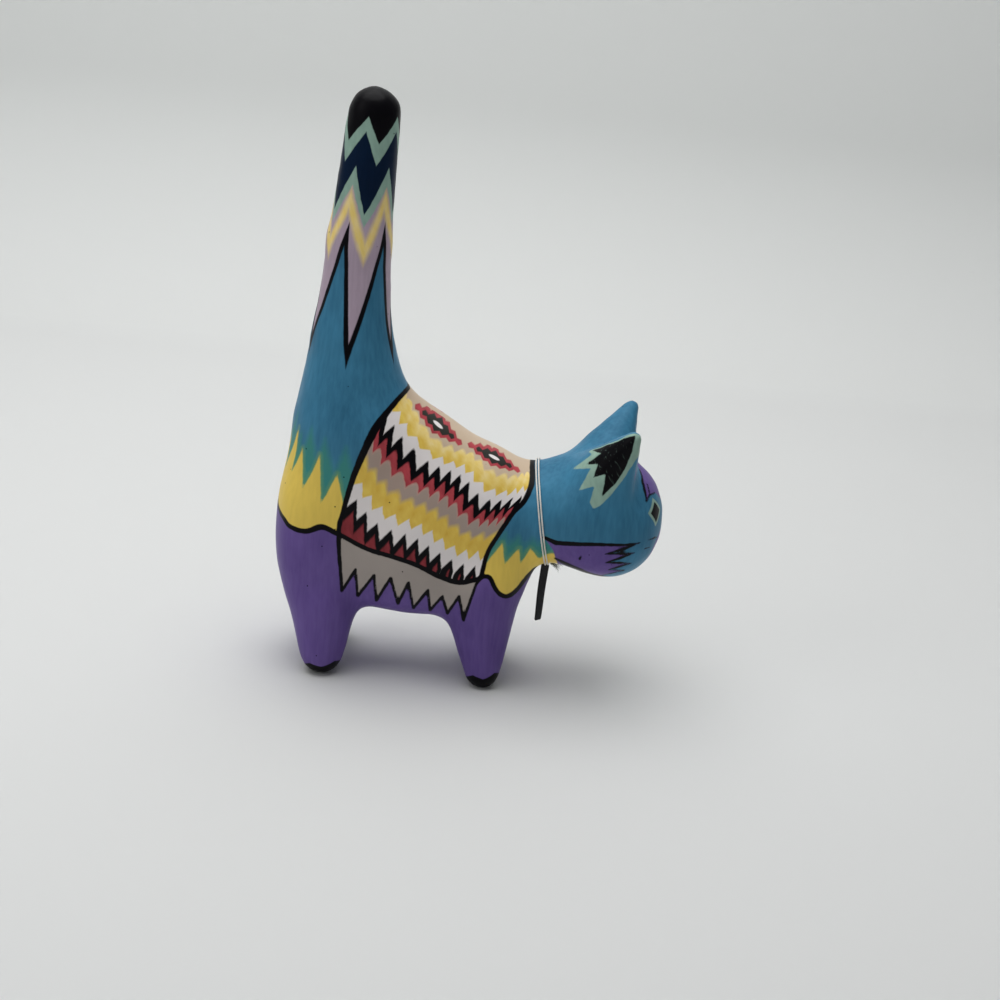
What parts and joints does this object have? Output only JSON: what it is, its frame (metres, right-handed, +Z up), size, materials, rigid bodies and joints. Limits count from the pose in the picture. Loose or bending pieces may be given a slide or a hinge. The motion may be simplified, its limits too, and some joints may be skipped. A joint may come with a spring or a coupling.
{
  "type": "wooden cat figurine",
  "caption": "Carved and painted wooden cat that stands on stubby legs with its tail straight up and its head low, a patterned blanket painted on its back and a cord round its neck.",
  "frame": {"origin": "on the ground under the middle of the cat's box", "axes": "+Z up along the tail, +X the way the cat looks, +Y the cat's left"},
  "size_m": [0.1852, 0.0634, 0.281],
  "materials": {
    "painted_wood": "hand-painted acrylic on smooth carved wood, satin, with brush strokes: blue, purple, yellow, green, lilac, grey, white, red and black",
    "cotton_cord": "thin twisted off-white cotton, matte",
    "black_strip": "thin stiff black strip, low sheen"
  },
  "bodies": {
    "root": {"cat": "painted_wood", "neck_cord": "cotton_cord", "hanging_strip": "black_strip"}
  },
  "joints": []
}
